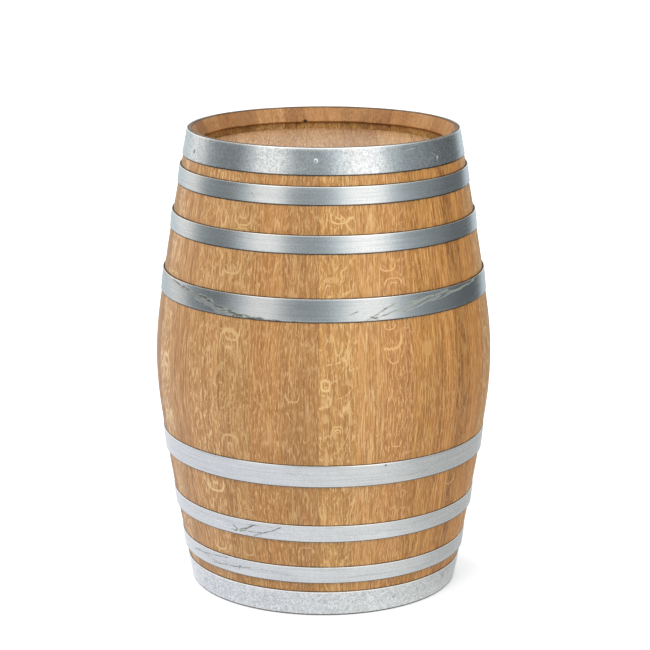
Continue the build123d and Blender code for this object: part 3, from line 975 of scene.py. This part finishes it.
def hoop_place(end, hoop, azimuth, from_end, layers):
    """Matrix of a point on a band's face, with its Z axis pointing out of the barrel."""
    (near_r, near_z), (far_r, far_z) = hoop_edges(end, *HOOPS[hoop][:3])
    z = height_from_end(end, from_end)
    lean = atan2(near_r - far_r, abs(near_z - far_z))
    drop = -sin(lean) if end == "top" else sin(lean)
    radius = near_r + (far_r - near_r) * (z - near_z) / (far_z - near_z)
    radius += layers * HOOP_THICKNESS / cos(lean)
    normal = Vector(turned_to(azimuth, cos(lean), drop))
    side = Vector(turned_to(azimuth + 90, 1, 0))
    turned = Matrix((side, normal.cross(side), normal)).transposed().to_4x4()
    turned.translation = turned_to(azimuth, radius, z)
    return turned


def lathe(profile, place, count=40, ripple=0.0, phase=0.0):
    """Vertices and faces of a turned solid. profile is (radius, height) from axis to axis."""
    rings = []
    for r, h in profile:
        ring = []
        for i in range(count):
            a = 2 * pi * i / count
            wobble = 1 + ripple * sin(3 * a + phase)
            ring.append(place @ Vector((r * wobble * cos(a), r * wobble * sin(a), h)))
        rings.append(ring)
    return skin(rings)


def dome(width, height, base, steps=7):
    """Profile of a round head from its edge to just short of its middle."""
    ball = (width**2 + height**2) / (2 * height)
    radii = [width * cos(pi / 2 * i / steps) for i in range(steps)]
    return [(r, base + sqrt(ball**2 - r * r) - (ball - height)) for r in radii]


def join_turned(node, profile, places, material, ripple, seed):
    """One piece of equal turned solids, each a little out of round."""
    rng = random.Random(seed)
    vertices, faces = [], []
    for place in places:
        more, quads = lathe(profile, place, ripple=ripple, phase=rng.uniform(0, 2 * pi))
        faces += [tuple(i + len(vertices) for i in quad) for quad in quads]
        vertices += more
    piece = add_piece(f"{node}_turned", vertices, faces, material, "barrel", [node], sharp=38)
    set_values(piece, "band", vertex_array(piece))


def make_rivets(material):
    """Two in each lap, flush inside and domed outside, one a little above the other."""
    grip = 2 * HOOP_THICKNESS
    rivet = [(AXIS, 0.0), (4.2 * MM, 0.0), (3 * MM, HOOP_THICKNESS / 2), (3 * MM, grip),
             (5.7 * MM, grip), (6 * MM, grip + 0.25 * MM)]
    rivet += dome(5.9 * MM, 2.2 * MM, grip + 0.3 * MM)[1:] + [(AXIS, grip + 2.5 * MM)]
    places = []
    for end in ("top", "bottom"):
        for hoop, (near, width, _, lap) in HOOPS.items():
            middle = near + width / 2
            step = degrees(RIVET_SPACING / 2 / wall_radius(height_from_end(end, middle)))
            for side in (-1, 1):
                places.append(hoop_place(end, hoop, lap + side * step, middle + side * width / 7, 0))
    join_turned("hoop_rivets", rivet, places, material, 0.02, 7)


def make_nails(material):
    """Pointed nails with low round heads, through the two head hoops into the staves."""
    nail = [(AXIS, -17 * MM), (0.4 * MM, -17 * MM), (1.5 * MM, 0.0), (4.3 * MM, 0.0), (4.5 * MM, 0.2 * MM)]
    nail += dome(4.4 * MM, 1.15 * MM, 0.25 * MM)[1:] + [(AXIS, 1.4 * MM)]
    places = [hoop_place(end, "head_hoop", a, d * MM, 1) for end in NAILS for d, a in NAILS[end]]
    join_turned("hoop_nails", nail, places, material, 0.03, 8)


def make_bung(material):
    """A tapered plug with rounded ends and a shallow recess in its outer end."""
    low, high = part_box("bung")
    length = high[1] - low[1]
    outer = BUNG_HOLE_RADIUS - BUNG_FIT + (high[1] - BILGE_RADIUS) * BUNG_TAPER
    inner = outer - length * BUNG_TAPER
    e = BUNG_ROUNDING
    profile = [(AXIS, 0.0), (inner - e, 0.0)]
    profile += [(inner - e * (1 - sin(a)), e * (1 - cos(a))) for a in np.linspace(0.2, pi / 2, 6)]
    profile += [(inner + (outer - inner) * t, length * t) for t in np.linspace(0.12, 0.9, 6)]
    profile += [(outer - e * (1 - cos(a)), length - e * (1 - sin(a))) for a in np.linspace(0.1, 1.45, 6)]
    recess = [(15.8, 0), (15.2, 0.3), (15, 0.8), (14.2, 3.4), (13.5, 4), (3, 4), (2.4, 3.6)]
    profile += [(r * MM, length - depth * MM) for r, depth in recess] + [(AXIS, length - 3.4 * MM)]
    along = Matrix(((1, 0, 0), (0, 0, -1), (0, 1, 0))).transposed().to_4x4()
    along.translation = Vector((0, low[1], MIDDLE))
    vertices, faces = lathe(profile, along, count=72)
    piece = add_piece("bung_turned", vertices, faces, material, "bung", ["bung"], sharp=45)
    set_values(piece, "local", vertex_array(piece))


# ---- the marks on the bands, as galvanised() reads them ----
SCUFFS = {
    "top_bilge_hoop": [
        (-66, 41, -44, 28, 3, 0.9), (-48, 31, -27, 1, 5.6, 1), (-56, 34, -34, 7, 1.8, 0.8),
        (-60, 34, -42, 18, 1.4, 0.6), (-38, 10, -20, 1, 4.6, 1), (-31, 2, -6, 0, 2.6, 0.9),
        (14, 1, 25, 33, 2.2, 0.9), (16, 4, 38, 34, 2.2, 0.8), (26, 10, 44, 34, 1.8, 0.6),
        (15, 12, 19, 1, 1.4, 0.8), (8, 12, 12, 22, 1.3, 0.9), (30, 30, 48, 40, 2.4, 0.9),
        (-50, 26, -31, 2, 8, 0.55), (46, 34, 66, 42, 2.6, 0.8), (38, 24, 60, 40, 1.6, 0.7),
    ],
    "bottom_quarter_hoop": [
        (-36, 4, -25, 29, 1.5, 1), (-33, 6, -26, 27, 1.6, 1), (-27, 3, -15, 29, 1.5, 1),
        (-37, 9, -21, 13, 1.4, 0.9), (-31, 26, -18, 27, 1, 0.8), (-36, 20, -32, 8, 2, 0.8),
        (0, 32, 8, 33, 1, 0.7), (18, 20, 36, 12, 0.9, 0.5),
    ],
    "bottom_collar_hoop": [
        (-64, 18, -40, 31, 1.3, 0.8), (-50, 10, -29, 20, 1.3, 0.8), (-36, 8, -34, 24, 1.4, 0.9),
        (-60, 26, -46, 12, 1, 0.7), (-2, 33, 5, 33.5, 1.4, 0.9), (-26, 22, -12, 16, 0.9, 0.6),
        (8, 12, 20, 16, 0.9, 0.5), (40, 8, 62, 20, 1.2, 0.7),
    ],
    "bottom_bilge_hoop": [
        (30, 12, 52, 22, 1.2, 0.7), (-12, 30, -9, 24, 1, 0.7), (34, 20, 47, 27, 1, 0.6),
    ],
    "top_collar_hoop": [(-28.4, 22, -26.8, 10, 1.1, 0.9)],
    "top_head_hoop": [
        (48, 30, 53, 14, 1, 0.7), (46, 14, 52, 24, 0.8, 0.6), (-33, 12, -31, 16, 1, 0.6),
        (30, 40, 40, 42, 1, 0.5),
    ],
    "bottom_head_hoop": [
        (-36, 35, -33.5, 30, 1.2, 0.8), (22, 20, 24, 30, 1, 0.6), (-26, 30, -22, 38, 1.6, 0.5),
        (33, 20, 37, 36, 2, 0.4),
    ],
}
STAINS = {
    "top_bilge_hoop": [
        (-31.5, 3, 3.5, 0.9), (-29, 1, 3, 0.8), (34, 38, 3, 0.8), (37, 41, 3.5, 0.9), (41, 37, 3, 0.8),
        (44, 41, 3, 0.7), (39, 33, 2.2, 0.8), (-44, 36, 2, 0.8),
    ],
    "bottom_bilge_hoop": [(21.4, 41, 3, 0.9)],
    "bottom_collar_hoop": [(-42, 16, 1.6, 0.8), (-38, 14, 1.4, 0.8), (-35, 20, 1.2, 0.7)],
    "bottom_head_hoop": [(30, 28, 6, 0.35), (-52, 30, 5, 0.25)],
}
# a darker zinc for the top bilge hoop: painted shade for the dimmer surroundings that it mirrors
BAND_SHADES = {"top_bilge_hoop": 0.86}
# a wider dark line, dirt and painted shade, along the bottom head hoop's lower edge by the floor
DIRT_AND_SHADE_LINES = {"bottom_head_hoop": 3.4 * MM}


# ---- the whole barrel ----
def make_hoops():
    for end, first in (("top", 0), ("bottom", 10)):
        for number, hoop in enumerate(HOOPS, start=first):
            name = f"{end}_{hoop}"
            spangle = 1.0 if hoop == "head_hoop" else 0.15
            tint = [c * BAND_SHADES.get(name, 1.0) for c in ZINC]
            marks = SCUFFS.get(name, ()), STAINS.get(name, ()), DIRT_AND_SHADE_LINES.get(name, 1.9 * MM)
            material = galvanised(f"zinc_{name}", spangle, HOOPS[hoop][1], tint, *marks)
            make_hoop(end, hoop, material, number, random.Random(500 + number))


def show_hidden_pieces():
    """The dowels and the rush between the head's boards keep the CAD model's own shapes."""
    rush = fibrous("dry_rush", (900, 30, 900), 2, (150, 122, 78), (196, 172, 122), 0.0003, 0.6, 0.75)
    dowel = fibrous("dowel_oak", (20, 700, 700), 3, (160, 116, 72), (196, 150, 100), 0.0002, 0.5, 0.6)
    for end in ("top", "bottom"):
        for kind, material in (("reeds", rush), ("dowels", dowel)):
            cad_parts[f"{end}_head_{kind}"].material_slots[0].material = material


make_staves()
make_heads()
make_hoops()
make_rivets(galvanised("galvanised_rivet", 0.2))
make_nails(galvanised("galvanised_nail", 0.2, tint=(0.5, 0.51, 0.52)))
make_bung(silicone("silicone_bung"))
show_hidden_pieces()


# ---- studio ----
DISC_SIDES = 64
# what the walls round the barrel send towards it: azimuth from the camera's side, brightness
WALLS = [
    (-180, 0.85), (-150, 0.85), (-128, 1.15), (-116, 1.05), (-106, 0.42), (-88, 0.26),
    (-72, 0.22), (-62, 0.68), (-52, 1.35), (-34, 1.38), (-26, 0.46), (-12, 0.42),
    (2, 0.48), (12, 1.0), (20, 1.62), (44, 1.72), (54, 0.8), (66, 0.48),
    (84, 0.33), (110, 0.165), (140, 0.15), (147, 0.85), (156, 0.95), (180, 0.9),
]
CEILING = 1.9
DARK_TINT = (0.83, 0.96, 1.02)
BRIGHT_TINT = (1.0, 0.995, 0.985)


def flat_disc(name, radius, z, material):
    mesh = bpy.data.meshes.new(name)
    rim = [turned_to(360 * i / DISC_SIDES, radius, z) for i in range(DISC_SIDES)]
    mesh.from_pydata(rim, [], [tuple(range(DISC_SIDES))])
    mesh.materials.append(material)
    disc = add_object(name, mesh)
    return disc


def make_floor():
    """A wide pale floor. What the metal mirrors of it is a bright sheet round the barrel."""
    pale = Material("pale_floor").finish(
        (0.72, 0.72, 0.72), 0.9, Specular_IOR_Level=0.0, Emission_Color=(1, 1, 1), Emission_Strength=0.20,
    )
    floor = flat_disc("floor", 60.0, 0.0, pale)
    floor.visible_glossy = False
    g = Material("bright_sheet")
    x, y, _ = g.split(g.place())
    turn = g.azimuth(x, y)
    from_right = g.size(g.minus(turn, radians(105)))
    glow = g.ease(from_right, radians(20), radians(80), 0.70, 1.14)
    to_right = g.ease(turn, radians(-60), radians(40))
    cool_left = g.mix(to_right, (0.92, 0.94, 1.0), (0.965, 0.975, 0.975))
    bright = g.finish(
        (0, 0, 0), 0.9, Specular_IOR_Level=0.0, Emission_Color=cool_left, Emission_Strength=glow,
    )
    sheet = flat_disc("mirrored_sheet", 2.0, -0.5 * MM, bright)
    sheet.visible_camera = False
    sheet.visible_diffuse = False
    sheet.visible_shadow = False


def softbox(name, azimuth, distance, height, size, power):
    """A square area light at an azimuth from the camera's side, aimed at the barrel's middle."""
    light = bpy.data.lights.new(name, "AREA")
    light.size = size
    light.energy = power
    lamp = add_object(name, light)
    a = radians(azimuth)
    lamp.location = (distance * sin(a), -distance * cos(a), height)
    aim = Vector((0, 0, MIDDLE)) - lamp.location
    lamp.rotation_euler = aim.to_track_quat("-Z", "Y").to_euler()
    lamp.visible_glossy = False


def make_walls(world):
    """Bright and dark walls under a bright ceiling, all far away."""
    g = Graph(world.node_tree)
    x, y, height = g.split(g.place("Generated"))
    ramp = g.node("ValToRGB")
    g.put(g.affine(g.azimuth(x, y), 1 / (2 * pi), 0.5), ramp.inputs[0])
    stops = ramp.color_ramp.elements
    for _ in WALLS[2:]:
        stops.new(0.5)
    for stop, (angle, brightness) in zip(stops, WALLS):
        stop.position = angle / 360 + 0.5
        stop.color = (*tinted(BRIGHT_TINT if brightness > 1 else DARK_TINT, brightness), 1.0)
    sky = g.mix(g.ease(height, 0.32, 0.74), ramp.outputs[0], (CEILING, CEILING, CEILING))
    g.wire(g.tree.nodes["Background"], Color=sky, Strength=1.0)


def make_studio():
    make_floor()
    softbox("back_left", -150, 4.2, 1.95, 0.7, 60)
    softbox("key", -28, 3.4, 4.0, 2.4, 85)
    world = bpy.data.worlds.new("studio")
    world.use_nodes = True
    make_walls(world)
    bpy.context.scene.world = world


def make_camera():
    camera = bpy.data.cameras.new("camera")
    camera.lens = 124.7
    camera.sensor_width = 36.0
    camera.shift_x = 0.0022
    rig = add_object("camera", camera)
    rig.location = (0.0, -4.533, 1.6465)
    rig.rotation_euler = (radians(90 - 13.80), 0.0, 0.0)
    bpy.context.scene.camera = rig


make_studio()
make_camera()
bpy.context.scene.view_settings.view_transform = "Standard"
